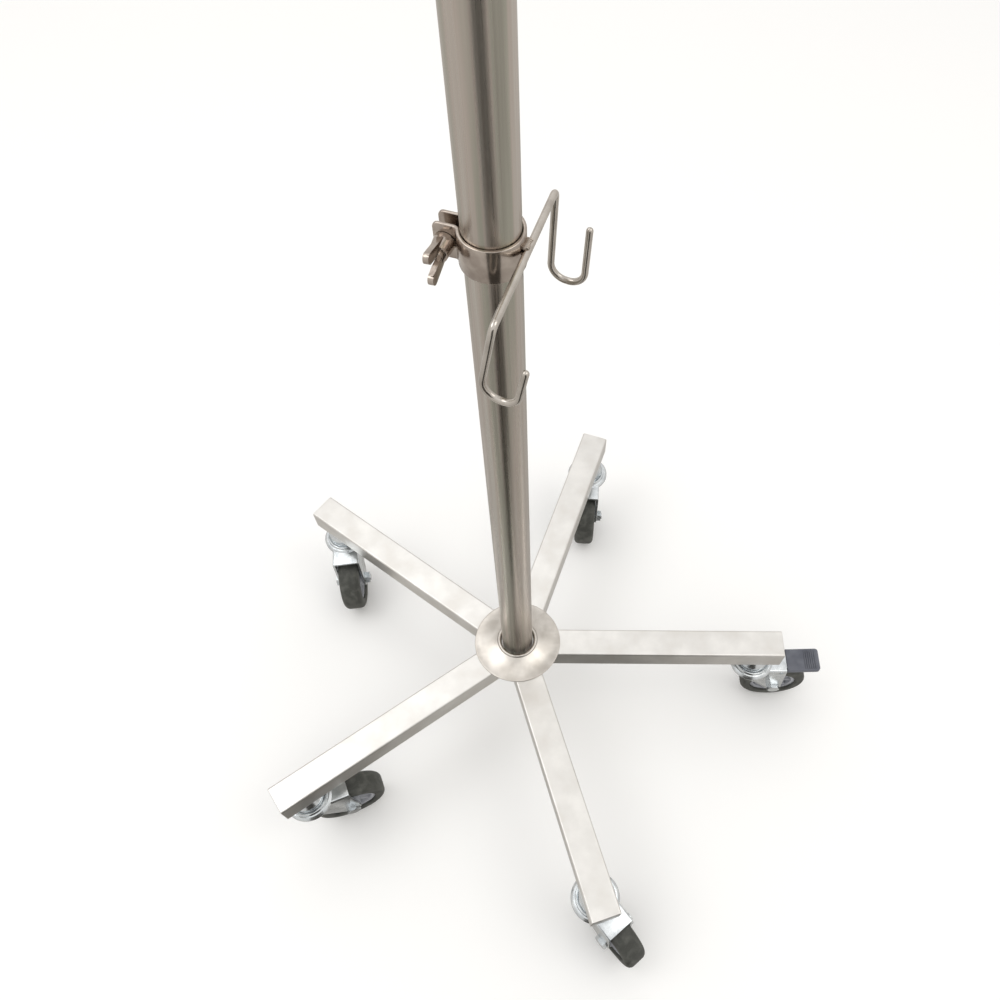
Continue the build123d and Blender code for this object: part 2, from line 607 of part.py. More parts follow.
def wheel_rim():
    """Moulded rim: hub, thin web, ribs on both sides and an outer ring."""
    ring_in = RIM_DIAMETER - 2 * RIM_RING
    root = RIM_RING / 4
    hub_width = FORK_GAP - 2 * HUB_SIDE_PLAY
    rim = tube(RIM_DIAMETER, ring_in, -RIM_WIDTH / 2, RIM_WIDTH / 2)
    rim += tube(ring_in + 2 * root, RIM_HUB_DIAMETER - 2 * root, -RIM_WEB / 2, RIM_WEB / 2)
    spoke = Pos((RIM_HUB_DIAMETER + ring_in) / 4, 0, 0) \
        * Box((ring_in - RIM_HUB_DIAMETER) / 2 + 2 * root, RIB_THICKNESS, RIB_WIDTH)
    for rib in around(RIM_RIBS, 0, spoke):
        rim += rib
    rim += rod(RIM_HUB_DIAMETER, -hub_width / 2, hub_width / 2)
    rim -= rod(SLEEVE_DIAMETER + 2 * RUNNING, -hub_width, hub_width)
    return Pos(TRAIL, 0, AXLE_LEVEL) * Rot(90, 0, 0) * rim


def tyre():
    """Solid rubber tyre with rounded shoulders."""
    shoulder = min(TREAD_SHOULDER, WHEEL_WIDTH * 0.45)
    ring = tube(WHEEL_DIAMETER, RIM_DIAMETER + 2 * SEAT, -WHEEL_WIDTH / 2, WHEEL_WIDTH / 2)
    round_edges = ring.edges().filter_by(GeomType.CIRCLE)
    outer = [edge for edge in round_edges if edge.radius > RIM_DIAMETER / 2 + OVERRUN]
    return Pos(TRAIL, 0, AXLE_LEVEL) * Rot(90, 0, 0) * fillet(outer, shoulder)


# ---------------------------------------------------------------- brake, drawn on the swivel axis
def across_pin(diameter, length):
    """Round bar on the brake pivot's line."""
    return Pos(TRAIL, 0, PIN_LEVEL) * Rot(90, 0, 0) * rod(diameter, -length / 2, length / 2)


def tilted(shape):
    """Turn a brake piece up about its pivot, to where it rests with the brake off."""
    return Pos(TRAIL, 0, PIN_LEVEL) * Rot(0, -PEDAL_TILT, 0) * Pos(-TRAIL, 0, -PIN_LEVEL) * shape


def brake_pin():
    """Rivet that the brake lever turns on."""
    return across_pin(PIN_DIAMETER, FORK_WIDTH + 2 * PIN_STANDS_OUT)


def tongue(grow):
    """Flat tail of the brake lever, or the pocket for it."""
    width, length, thickness = TONGUE
    end = PEDAL_START + length
    bar = Box(end - TRAIL + 2 * grow, width + 2 * grow, thickness + 2 * grow)
    return Pos((TRAIL + end) / 2, 0, PIN_LEVEL) * bar


def brake_lever():
    """Steel lever with a cam corner that bites the tyre when the pedal goes down."""
    pivot = Pos(TRAIL, PIN_LEVEL)
    corner = pivot * Rot(0, 0, CAM_START - 90) * Pos(CAM_REACH - CAM_CORNER, 0) * Circle(CAM_CORNER)
    outline = make_hull((pivot * Circle(CAM_BODY)).edges() + corner.edges())
    lever = extrude(Plane.XZ * outline, FORK_GAP / 2 - CAM_SIDE_PLAY, both=True) + tongue(0)
    return tilted(lever - across_pin(PIN_DIAMETER + 2 * RUNNING, FORK_GAP))


def brake_pedal():
    """Moulded foot pad on the lever's tail, with ribs across its outer third."""
    centre = PEDAL_START + PEDAL_LENGTH / 2
    pad = Pos(centre, 0, PIN_LEVEL) * Box(PEDAL_LENGTH, PEDAL_WIDTH, PEDAL_THICKNESS)
    pad = fillet(pad.edges().filter_by(Axis.Z).group_by(Axis.X)[-1], PEDAL_CORNER)
    pad = fillet(pad.edges().group_by(Axis.Z)[-1], PEDAL_EDGE)
    pad -= tongue(SEAT)
    width, height = PEDAL_RIB
    first = PEDAL_START + PEDAL_LENGTH - PEDAL_RIB_MARGIN - (PEDAL_RIBS - 1) * PEDAL_RIB_PITCH
    for k in range(PEDAL_RIBS):
        rib = Box(width, PEDAL_WIDTH - PEDAL_RIB_MARGIN, 2 * height)
        pad += Pos(first + k * PEDAL_RIB_PITCH, 0, PIN_LEVEL + PEDAL_THICKNESS / 2) * rib
    return tilted(pad)


# ---------------------------------------------------------------- assembly
def arm_turn(number):
    """Direction of an arm, counted from 1 anticlockwise seen from above."""
    return (number - 1) * 360 / ARMS


def on_caster(number, shape):
    """Place a caster piece under its arm, turned to that caster's trail direction."""
    turn = arm_turn(number)
    return Rot(0, 0, turn) * Pos(SWIVEL_RADIUS, 0, 0) * Rot(0, 0, TRAIL_TURN[number - 1]) * shape


def make_base():
    """Everything that stands still: base, pole and the casters' fixed pieces."""
    save("base_hub", base_hub())
    arm = base_arm()
    for number in range(1, ARMS + 1):
        save(f"base_arm_{number}", Rot(0, 0, arm_turn(number)) * arm)
    save("arm_end_plates", *around(ARMS, 0, arm_end_plate()))
    save("pole_cover", pole_cover())
    save("outer_pole", outer_pole())
    save("pole_plug", pole_plug())
    save("base_washer", base_washer())
    save("base_bolt", base_bolt())
    save("lock_collar", lock_collar())
    numbers = range(1, ARMS + 1)
    save("caster_stems", *[on_caster(n, caster_stem()) for n in numbers])
    save("stem_nuts", *[on_caster(n, stem_nut()) for n in numbers])
    save("top_races", *[on_caster(n, top_race()) for n in numbers])


def make_mast():
    """Inner pole with its head and hooks, and the lock knob."""
    save("inner_pole", inner_pole())
    save("guide_bush", guide_bush())
    save("hook_head", hook_head())
    save("bag_hooks", *around(HOOKS, HOOK_YAW, bag_hook()))
    save("lock_screw", lock_screw())
    save("lock_knob", lock_knob())


def make_clamp():
    """Hook clamp that slides on the outer pole."""
    save("clamp_band", clamp_band())
    save("hook_wire", hook_wire())
    save("clamp_screw", clamp_screw())
    save("wing_nut", wing_nut())


def make_casters():
    """The turning and rolling pieces of each caster, and the brake of caster 1."""
    fork, balls = swivel_fork(), ball_ring()
    axle = [axle_bolt(), axle_nut(), axle_sleeve()]
    rim, ring = wheel_rim(), tyre()
    for number in range(1, ARMS + 1):
        own_fork = fork - across_pin(PIN_DIAMETER + 2 * SEAT, FORK_WIDTH + 2) if number == 1 else fork
        save(f"swivel_fork_{number}", on_caster(number, own_fork))
        save(f"swivel_balls_{number}", *[on_caster(number, ball) for ball in balls])
        save(f"axle_set_{number}", *[on_caster(number, piece) for piece in axle])
        save(f"wheel_rim_{number}", on_caster(number, rim))
        save(f"tyre_{number}", on_caster(number, ring))
    save("brake_pin", on_caster(1, brake_pin()))
    save("brake_lever", on_caster(1, brake_lever()))
    save("brake_pedal", on_caster(1, brake_pedal()))


os.makedirs("parts", exist_ok=True)
make_base()
make_mast()
make_clamp()
make_casters()
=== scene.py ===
import json
import math

import bmesh
import bpy
from mathutils import Matrix, Vector


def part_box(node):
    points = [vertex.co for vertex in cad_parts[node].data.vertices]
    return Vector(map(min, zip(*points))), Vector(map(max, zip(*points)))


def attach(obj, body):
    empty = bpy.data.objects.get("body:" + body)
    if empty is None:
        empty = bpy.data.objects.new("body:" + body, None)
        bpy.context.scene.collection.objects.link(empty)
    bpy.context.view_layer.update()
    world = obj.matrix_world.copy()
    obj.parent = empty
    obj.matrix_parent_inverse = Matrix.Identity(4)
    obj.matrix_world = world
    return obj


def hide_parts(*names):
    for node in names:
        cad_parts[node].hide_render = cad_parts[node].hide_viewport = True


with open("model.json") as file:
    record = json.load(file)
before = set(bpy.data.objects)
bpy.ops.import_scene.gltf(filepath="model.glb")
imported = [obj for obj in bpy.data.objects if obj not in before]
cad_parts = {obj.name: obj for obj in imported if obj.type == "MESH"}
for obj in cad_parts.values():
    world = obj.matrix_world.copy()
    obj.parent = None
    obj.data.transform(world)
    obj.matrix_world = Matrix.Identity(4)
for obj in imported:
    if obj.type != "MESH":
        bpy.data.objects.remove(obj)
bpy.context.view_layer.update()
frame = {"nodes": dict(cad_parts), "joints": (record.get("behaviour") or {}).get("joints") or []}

bl_info = {
    "name": "Infusion Stand Finish",
    "version": (1, 0, 0),
    "blender": (4, 5, 0),
    "location": "3D View > Sidebar > Stand",
    "description": "Builds the visible pieces and finishes of a rolling infusion stand round its CAD frame",
    "category": "Object",
}

MM = 0.001
TURN = 2 * math.pi
CASTERS = range(1, 6)
CREASE = math.radians(38)          # faces that meet more sharply than this keep a crisp shading edge
NOISE_LOW, NOISE_HIGH = 0.3, 0.7   # nearly all of a noise pattern lies between these
WAVE_LENGTH = TURN / 20            # one wave of Blender's wave texture, in metres, at a scale of one
SLOPE_POWER = 1.55                 # bends the cover's slope: one would be a straight cone
BEAD_SWING = 0.14                  # share by which the ripples of a weld bead differ in size
BEAD_STEP = 7.3                    # radians from one ripple to the next, so that no two are alike
BEAD_OVERLAP = 1.5                 # length of a ripple against the spacing of ripples
BEAD_RISE = 0.62                   # height of a bead against half its width
WELD_SHARE = 0.9                   # share of the hub's height that a weld bead covers
EDGE_SHARE = 0.28                  # edge radius of the clamp band against its thickness


# ---------------------------------------------------------------- the frame
def joint(name):
    """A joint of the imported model, by name."""
    return next(item for item in frame["joints"] if item["name"] == name)


def swivel_place(number):
    """Matrix that carries a caster drawn on its swivel axis, its wheel towards +X, to its place."""
    swivel = Vector(joint(f"caster_swivel_{number}")["pos_m"])
    axle = Vector(joint(f"wheel_spin_{number}")["pos_m"])
    turn = math.atan2(axle.y - swivel.y, axle.x - swivel.x)
    return Matrix.Translation((swivel.x, swivel.y, 0)) @ Matrix.Rotation(turn, 4, "Z")


def wheel_place(number):
    """Matrix that carries a wheel drawn flat about Z to its axle."""
    axle = Vector(joint(f"wheel_spin_{number}")["pos_m"])
    turn = swivel_place(number).to_euler().z
    return Matrix.Translation(axle) @ Matrix.Rotation(turn, 4, "Z") @ Matrix.Rotation(math.pi / 2, 4, "X")


def clamp_place():
    """Matrix that carries a clamp piece, drawn with its weld on +X and its lower edge at zero."""
    axis = Vector(joint("wing_nut_turn")["axis"])
    turn = math.atan2(axis.y, axis.x) + math.pi / 2
    return Matrix.Translation((0, 0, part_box("clamp_band")[0].z)) @ Matrix.Rotation(turn, 4, "Z")


# ---------------------------------------------------------------- colours and nodes
def linear(code):
    """An sRGB hex colour as linear red, green, blue and alpha."""
    parts = [int(code[start:start + 2], 16) / 255 for start in (1, 3, 5)]
    return [part / 12.92 if part <= 0.04045 else ((part + 0.055) / 1.055) ** 2.4 for part in parts] + [1.0]


def add_node(tree, kind, settings=None, values=None, links=None):
    """Add one shader node with its settings, its socket values and its incoming links."""
    made = tree.nodes.new(kind)
    for name, value in (settings or {}).items():
        setattr(made, name, value)
    for name, value in (values or {}).items():
        made.inputs[name].default_value = value
    for name, source in (links or {}).items():
        tree.links.new(source, made.inputs[name])
    return made


def blank_material(name):
    """A material with nothing but its output; returns it and its tree."""
    material = bpy.data.materials.new(name)
    material.use_nodes = True
    material.node_tree.nodes.clear()
    return material, material.node_tree


def close_material(material, shader):
    """Join a shader to the material's output."""
    add_node(material.node_tree, "ShaderNodeOutputMaterial", links={"Surface": shader.outputs[0]})
    return material


def pattern(tree, across, along=None, detail=4.0, distortion=0.0):
    """Noise whose grains measure across on X and Y and along on Z, in metres, on Object coordinates."""
    position = add_node(tree, "ShaderNodeTexCoord").outputs["Object"]
    grain = (1 / across, 1 / across, 1 / (along or across))
    stretched = add_node(tree, "ShaderNodeMapping", values={"Scale": grain}, links={"Vector": position})
    values = {"Scale": 1.0, "Detail": detail, "Distortion": distortion}
    return add_node(tree, "ShaderNodeTexNoise", values=values,
                    links={"Vector": stretched.outputs[0]}).outputs["Fac"]


def ramp(tree, source, stops):
    """Colour ramp from (position, linear colour) stops."""
    made = add_node(tree, "ShaderNodeValToRGB", links={"Fac": source})
    band = made.color_ramp
    while len(band.elements) < len(stops):
        band.elements.new(0.5)
    for element, (position, colour) in zip(band.elements, stops):
        element.position = position
        element.color = colour
    return made.outputs["Color"]


def two_tones(dark, light):
    """Stops of a ramp that spreads two hex colours over a noise pattern."""
    return [(NOISE_LOW, linear(dark)), (NOISE_HIGH, linear(light))]


def level(tree, source, low, high):
    """Turn a pattern's middle range into a value between two ends."""
    return add_node(tree, "ShaderNodeMapRange",
                    values={"From Min": NOISE_LOW, "From Max": NOISE_HIGH, "To Min": low, "To Max": high},
                    links={"Value": source}).outputs[0]


def dents(tree, source, depth, below=None):
    """Bump of a depth in metres, laid over another one."""
    links = {"Height": source}
    if below:
        links["Normal"] = below
    return add_node(tree, "ShaderNodeBump", values={"Strength": 1.0, "Distance": depth},
                    links=links).outputs[0]


def steel(name, tones, grain, roughness, depth):
    """Metal whose tone, gloss and fine scratches run along Z, the direction of polishing.

    tones are hex colours from dark to light, grain is (across, along) of the drawn scratches."""
    material, tree = blank_material(name)
    across, along = grain
    # broad streaks carry the tone, and fine ones the gloss and the relief
    broad = pattern(tree, across * 9, along * 3, 3.0)
    fine = pattern(tree, across, along, 5.0)
    spacing = (NOISE_HIGH - NOISE_LOW) / (len(tones) - 1)
    stops = [(NOISE_LOW + spacing * count, linear(code)) for count, code in enumerate(tones)]
    tone = ramp(tree, broad, stops)
    shader = add_node(tree, "ShaderNodeBsdfPrincipled", values={"Metallic": 1.0}, links={
        "Base Color": tone, "Roughness": level(tree, fine, *roughness), "Normal": dents(tree, fine, depth)})
    return close_material(material, shader)


# ---------------------------------------------------------------- materials
def pole_steel(colours):
    """Stainless tube, drawn and belt-polished: soft streaks run its whole length, with a faint tint."""
    return steel("satin_stainless_tube", (colours.pole_dark, colours.pole_green, colours.pole_pink,
                                          colours.pole_light), (0.9 * MM, 160 * MM), (0.24, 0.36), 0.004 * MM)


def arm_steel(colours):
    """Stainless box tube, hand-brushed with a fine pad: cloudy, with short scratches both ways."""
    material, tree = blank_material("brushed_stainless_box_tube")
    cloud = pattern(tree, 26 * MM, detail=3.0)
    scratch = pattern(tree, 0.5 * MM, 0.5 * MM, 6.0, 0.8)
    tone = ramp(tree, cloud, [(0.32, linear(colours.arm_dark)), (0.5, linear(colours.arm_middle)),
                              (0.68, linear(colours.arm_light))])
    shader = add_node(tree, "ShaderNodeBsdfPrincipled", values={"Metallic": 1.0}, links={
        "Base Color": tone, "Roughness": level(tree, scratch, 0.30, 0.44),
        "Normal": dents(tree, scratch, 0.006 * MM, dents(tree, cloud, 0.006 * MM))})
    return close_material(material, shader)


def spun_steel(colours):
    """Stainless sheet spun on a lathe: fine rings about the pole pull its highlights into lobes."""
    material, tree = blank_material("spun_stainless_sheet")
    position = add_node(tree, "ShaderNodeTexCoord").outputs["Object"]
    rings = add_node(tree, "ShaderNodeTexWave", {"wave_type": "RINGS", "rings_direction": "Z"},
                     {"Scale": WAVE_LENGTH / (1.1 * MM), "Distortion": 0.3, "Detail": 2.0},
                     {"Vector": position})
    cloud = pattern(tree, 14 * MM, detail=2.0)
    tone = ramp(tree, cloud, two_tones(colours.cover_dark, colours.cover_light))
    around = add_node(tree, "ShaderNodeTangent", {"direction_type": "RADIAL", "axis": "Z"})
    shader = add_node(tree, "ShaderNodeBsdfPrincipled", values={"Metallic": 1.0, "Anisotropic": 0.75}, links={
        "Base Color": tone, "Roughness": level(tree, rings.outputs["Fac"], 0.26, 0.31),
        "Normal": dents(tree, rings.outputs["Fac"], 0.0008 * MM), "Tangent": around.outputs[0]})
    return close_material(material, shader)


def fitting_steel(colours):
    """Cast and bent stainless, tumbled bright: a warm tint and very fine pits."""
    material, tree = blank_material("tumbled_stainless_fitting")
    cloud = pattern(tree, 7 * MM, detail=3.0)
    pits = pattern(tree, 0.8 * MM, detail=2.0)
    tone = ramp(tree, cloud, two_tones(colours.fitting_dark, colours.fitting_light))
    shader = add_node(tree, "ShaderNodeBsdfPrincipled", values={"Metallic": 1.0}, links={
        "Base Color": tone, "Roughness": level(tree, pits, 0.15, 0.20),
        "Normal": dents(tree, pits, 0.004 * MM)})
    return close_material(material, shader)


def wire_steel(colours):
    """Cold-drawn stainless wire, polished: brighter than the band, with barely visible draw marks."""
    return steel("polished_drawn_wire", (colours.wire_dark, colours.wire_light),
                 (1.1 * MM, 5 * MM), (0.17, 0.23), 0.002 * MM)


def zinc_steel(colours):
    """Pressed mild steel, bright zinc plated: cool, glossy, with a slightly rolled surface."""
    material, tree = blank_material("bright_zinc_plated_steel")
    cloud = pattern(tree, 8 * MM, detail=4.0)
    rolled = pattern(tree, 3 * MM, detail=2.0)
    tone = ramp(tree, cloud, two_tones(colours.zinc_dark, colours.zinc_light))
    shader = add_node(tree, "ShaderNodeBsdfPrincipled", values={"Metallic": 1.0}, links={
        "Base Color": tone, "Roughness": level(tree, cloud, 0.20, 0.27),
        "Normal": dents(tree, rolled, 0.02 * MM)})
    return close_material(material, shader)


def bearing_steel(colours):
    """Hardened chrome steel balls: nearly a mirror."""
    return steel("polished_bearing_steel", (colours.zinc_dark, colours.zinc_light),
                 (1.5 * MM, 1.5 * MM), (0.06, 0.12), 0.001 * MM)


def weld_steel(colours):
    """Stainless weld metal, wire-brushed: darker and faintly straw-tinted by the heat."""
    return steel("brushed_weld_metal", (colours.weld_dark, colours.weld_light),
                 (1.2 * MM, 1.2 * MM), (0.24, 0.40), 0.03 * MM)


def grey_rubber(colours):
    """Thermoplastic rubber, moulded: matt, with pale scuffs and dust that gathers in patches."""
    material, tree = blank_material("moulded_grey_rubber")
    cloud = pattern(tree, 11 * MM, detail=6.0, distortion=0.6)
    specks = pattern(tree, 0.7 * MM, detail=3.0)
    body = ramp(tree, specks, two_tones(colours.rubber_dark, colours.rubber))
    dusty = level(tree, cloud, -0.25, 0.55)          # it starts below zero, so only patches are dusty
    tone = add_node(tree, "ShaderNodeMix", {"data_type": "RGBA"}, {"B": linear(colours.rubber_scuff)},
                    {"Factor": dusty, "A": body}).outputs["Result"]
    shader = add_node(tree, "ShaderNodeBsdfPrincipled", values={"IOR": 1.5}, links={
        "Base Color": tone, "Roughness": level(tree, cloud, 0.52, 0.72),
        "Normal": dents(tree, specks, 0.05 * MM)})
    return close_material(material, shader)


def plastic(name, dark, light, roughness, grain, depth, painted_shade=None):
    """Moulded plastic: an even colour, a fine spark-eroded texture, and painted shade in its corners if
    wanted.
    """
    material, tree = blank_material(name)
    cloud = pattern(tree, 14 * MM, detail=2.0)
    texture = pattern(tree, grain, detail=2.0)
    tone = ramp(tree, cloud, [(0.35, linear(dark)), (0.65, linear(light))])
    if painted_shade:
        # painted shade: ambient occlusion within 2 mm blends the shade colour into recesses, where less light
        # reaches
        painted_shade_mask = add_node(tree, "ShaderNodeAmbientOcclusion", {"samples": 8}, {"Distance": 2 * MM})
        tone = add_node(tree, "ShaderNodeMix", {"data_type": "RGBA"}, {"A": linear(painted_shade)},
                        {"Factor": painted_shade_mask.outputs["AO"], "B": tone}).outputs["Result"]
    shader = add_node(tree, "ShaderNodeBsdfPrincipled", values={"IOR": 1.49}, links={
        "Base Color": tone, "Roughness": level(tree, texture, *roughness),
        "Normal": dents(tree, texture, depth)})
    return close_material(material, shader)


def rim_plastic(colours):
    """Polypropylene rim, moulded: pale grey with a soft gloss."""
    return plastic("moulded_grey_polypropylene", colours.rim_dark, colours.rim_light, (0.34, 0.46),
                   0.6 * MM, 0.01 * MM)


def pedal_plastic(colours):
    """Nylon pedal, moulded with a fine leather-like texture: slate grey, with painted shade darkening the
    hollows between its ribs.
    """
    return plastic("moulded_slate_nylon", colours.pedal_dark, colours.pedal_light, (0.42, 0.56),
                   0.8 * MM, 0.03 * MM, colours.pedal_painted_shade)


def black_plastic(colours):
    """Phenolic hand knob and acetal bush, moulded: black with a low gloss."""
    return plastic("moulded_black_phenolic", colours.black_dark, colours.black_light, (0.28, 0.4),
                   0.7 * MM, 0.02 * MM)


FINISHES = {
    "pole_steel": pole_steel, "arm_steel": arm_steel, "spun_steel": spun_steel,
    "fitting_steel": fitting_steel, "wire_steel": wire_steel, "zinc_steel": zinc_steel,
    "bearing_steel": bearing_steel, "weld_steel": weld_steel, "grey_rubber": grey_rubber,
    "rim_plastic": rim_plastic, "pedal_plastic": pedal_plastic, "black_plastic": black_plastic}
made_finishes = {}                 # materials made so far, by slot


def finish(slot):
    """The material of one slot, made the first time that it is asked for."""
    if slot not in made_finishes:
        made_finishes[slot] = FINISHES[slot](bpy.context.scene.stand_colours)
    return made_finishes[slot]


def give_finish(slot, *nodes):
    """Put a slot's material on CAD nodes that stay as they are."""
    for name in nodes:
        mesh = frame["nodes"][name].data
        mesh.materials.clear()
        mesh.materials.append(finish(slot))


# ---------------------------------------------------------------- mesh tools
def spun(outline, steps=96, closed=True):
    """A shape turned about Z from a few (radius, height) points."""
    shape = bmesh.new()
    points = [shape.verts.new((radius, 0, height)) for radius, height in outline]
    following = points[1:] + (points[:1] if closed else [])
    lines = [shape.edges.new(pair) for pair in zip(points, following)]
    bmesh.ops.spin(shape, geom=points + lines, cent=(0, 0, 0), axis=(0, 0, 1), dvec=(0, 0, 0),
                   angle=TURN, steps=steps, use_merge=True)
    bmesh.ops.remove_doubles(shape, verts=shape.verts[:], dist=MM / 1000)
    bmesh.ops.recalc_face_normals(shape, faces=shape.faces[:])
    return shape


def arc(centre, radius, start, end, steps):
    """Points of an arc in a plane, its angles in degrees."""
    angles = [math.radians(start + (end - start) * step / steps) for step in range(steps + 1)]
    return [(centre[0] + radius * math.cos(angle), centre[1] + radius * math.sin(angle)) for angle in angles]


def ease(shape, width, least=30, segments=3):
    """Round over every edge sharper than a number of degrees."""
    sharp = [edge for edge in shape.edges
             if edge.is_manifold and edge.calc_face_angle() > math.radians(least)]
    bmesh.ops.bevel(shape, geom=sharp, offset=width, offset_type="OFFSET", segments=segments, profile=0.5,
                    affect="EDGES", material=-1, clamp_overlap=True)
    return shape


def merged_copy(node):
    """A bmesh copy of a CAD node, its triangles joined and its flat faces made whole."""
    shape = bmesh.new()
    shape.from_mesh(frame["nodes"][node].data)
    bmesh.ops.remove_doubles(shape, verts=shape.verts[:], dist=MM / 200)
    bmesh.ops.dissolve_limit(shape, angle_limit=math.radians(0.6), verts=shape.verts[:], edges=shape.edges[:])
    return shape


def place(shape, matrix):
    """Move a whole shape by a matrix."""
    bmesh.ops.transform(shape, matrix=matrix, verts=shape.verts[:])
    return shape


def add_shape(target, extra):
    """Put a second shape into the first one."""
    mesh = bpy.data.meshes.new("joining")
    extra.to_mesh(mesh)
    extra.free()
    target.from_mesh(mesh)
    bpy.data.meshes.remove(mesh)
    return target


def piece(name, shape, slot, body, *nodes, material=None):
    """Turn a shape into a finished piece on a body, standing for the CAD nodes that it names."""
    for face in shape.faces:
        face.smooth = True
    for edge in shape.edges:
        edge.smooth = not (edge.is_manifold and edge.calc_face_angle() > CREASE)
    mesh = bpy.data.meshes.new(name)
    shape.to_mesh(mesh)
    shape.free()
    mesh.materials.append(finish(material or slot))
    made = bpy.data.objects.new(name, mesh)
    bpy.context.scene.collection.objects.link(made)
    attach(made, body)
    if nodes:
        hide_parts(*nodes)
    return made


def eased_piece(name, node, edge, slot, body, least=40, segments=3):
    """A piece that is a CAD node with its edges rounded over."""
    return piece(name, ease(merged_copy(node), edge, least, segments), slot, body, node)


def bead(length, width, ripple, phase):
    """A short weld bead along X: a rounded ridge whose ripples overlap like coins.

    phase, in radians, makes one bead's ripples differ from another's."""
    shape = bmesh.new()
    count = max(3, round(length / ripple))
    for step in range(count):
        along = (step + 0.5) * length / count - length / 2
        wave = 1 + BEAD_SWING * math.sin(BEAD_STEP * step + phase)
        stretch = Matrix.Diagonal((ripple / width * BEAD_OVERLAP, wave, BEAD_RISE * wave, 1))
        ball = Matrix.Translation((along, 0, 0)) @ stretch
        bmesh.ops.create_uvsphere(shape, u_segments=16, v_segments=10, radius=width / 2, matrix=ball)
    return shape


# ---------------------------------------------------------------- sizes and colours to change
def hex_property(name, default, description):
    """A colour as an sRGB hex code."""
    return bpy.props.StringProperty(name=name, default=default, description=description)


def length_property(name, millimetres, description):
    """A length, kept in metres."""
    return bpy.props.FloatProperty(name=name, default=millimetres * MM, min=0.0, precision=5,
                                   unit="LENGTH", description=description)


class StandColours(bpy.types.PropertyGroup):
    """Colours of the stand's finishes."""
    pole_dark: hex_property("Pole, dark", "#98948A", "Darkest streak of the satin pole")
    pole_green: hex_property("Pole, greenish", "#ABA99D", "Greenish streak of the satin pole")
    pole_pink: hex_property("Pole, pinkish", "#BFB5AC", "Pinkish streak of the satin pole")
    pole_light: hex_property("Pole, light", "#CBC6BE", "Lightest streak of the satin pole")
    arm_dark: hex_property("Arm, dark", "#DAD7D2", "Dark cloud of the brushed arms")
    arm_middle: hex_property("Arm, middle", "#E0DEDA", "Main tone of the brushed arms")
    arm_light: hex_property("Arm, light", "#E8E6E2", "Light cloud of the brushed arms")
    cover_dark: hex_property("Cover, dark", "#BDB7AF", "Dark tone of the spun cover")
    cover_light: hex_property("Cover, light", "#D5D0C9", "Light tone of the spun cover")
    fitting_dark: hex_property("Fitting, dark", "#A3978E", "Dark tone of the clamp and its wire")
    fitting_light: hex_property("Fitting, light", "#C2B8AE", "Light tone of the clamp and its wire")
    wire_dark: hex_property("Wire, dark", "#B5AEA6", "Dark tone of the hook wire")
    wire_light: hex_property("Wire, light", "#CFC9C1", "Light tone of the hook wire")
    zinc_dark: hex_property("Zinc, dark", "#C6CBCE", "Dark tone of the zinc plating")
    zinc_light: hex_property("Zinc, light", "#E6EAEC", "Light tone of the zinc plating")
    weld_dark: hex_property("Weld, dark", "#9A8F84", "Dark tone of the weld beads")
    weld_light: hex_property("Weld, light", "#CFC6BB", "Light tone of the weld beads")
    rubber: hex_property("Rubber", "#454641", "Main colour of the tyres")
    rubber_dark: hex_property("Rubber, dark", "#353632", "Specks in the tyres")
    rubber_scuff: hex_property("Rubber, scuffed", "#6C6D67", "Dusty scuffs on the tyres")
    rim_dark: hex_property("Rim, dark", "#9A9CA2", "Dark tone of the wheel rims")
    rim_light: hex_property("Rim, light", "#B4B6BB", "Light tone of the wheel rims")
    pedal_dark: hex_property("Pedal, dark", "#575A64", "Dark tone of the brake pedal")
    pedal_light: hex_property("Pedal, light", "#676A73", "Light tone of the brake pedal")
    # painted shade colour, which ambient occlusion blends into the hollows between the pedal's ribs
    pedal_painted_shade: hex_property("Pedal, grime", "#26282E", "Grime between the pedal's ribs")
    black_dark: hex_property("Knob, dark", "#141414", "Dark tone of the black plastic")
    black_light: hex_property("Knob, light", "#232323", "Light tone of the black plastic")
    floor: hex_property("Floor", "#FCFCFB", "Colour of the studio floor")


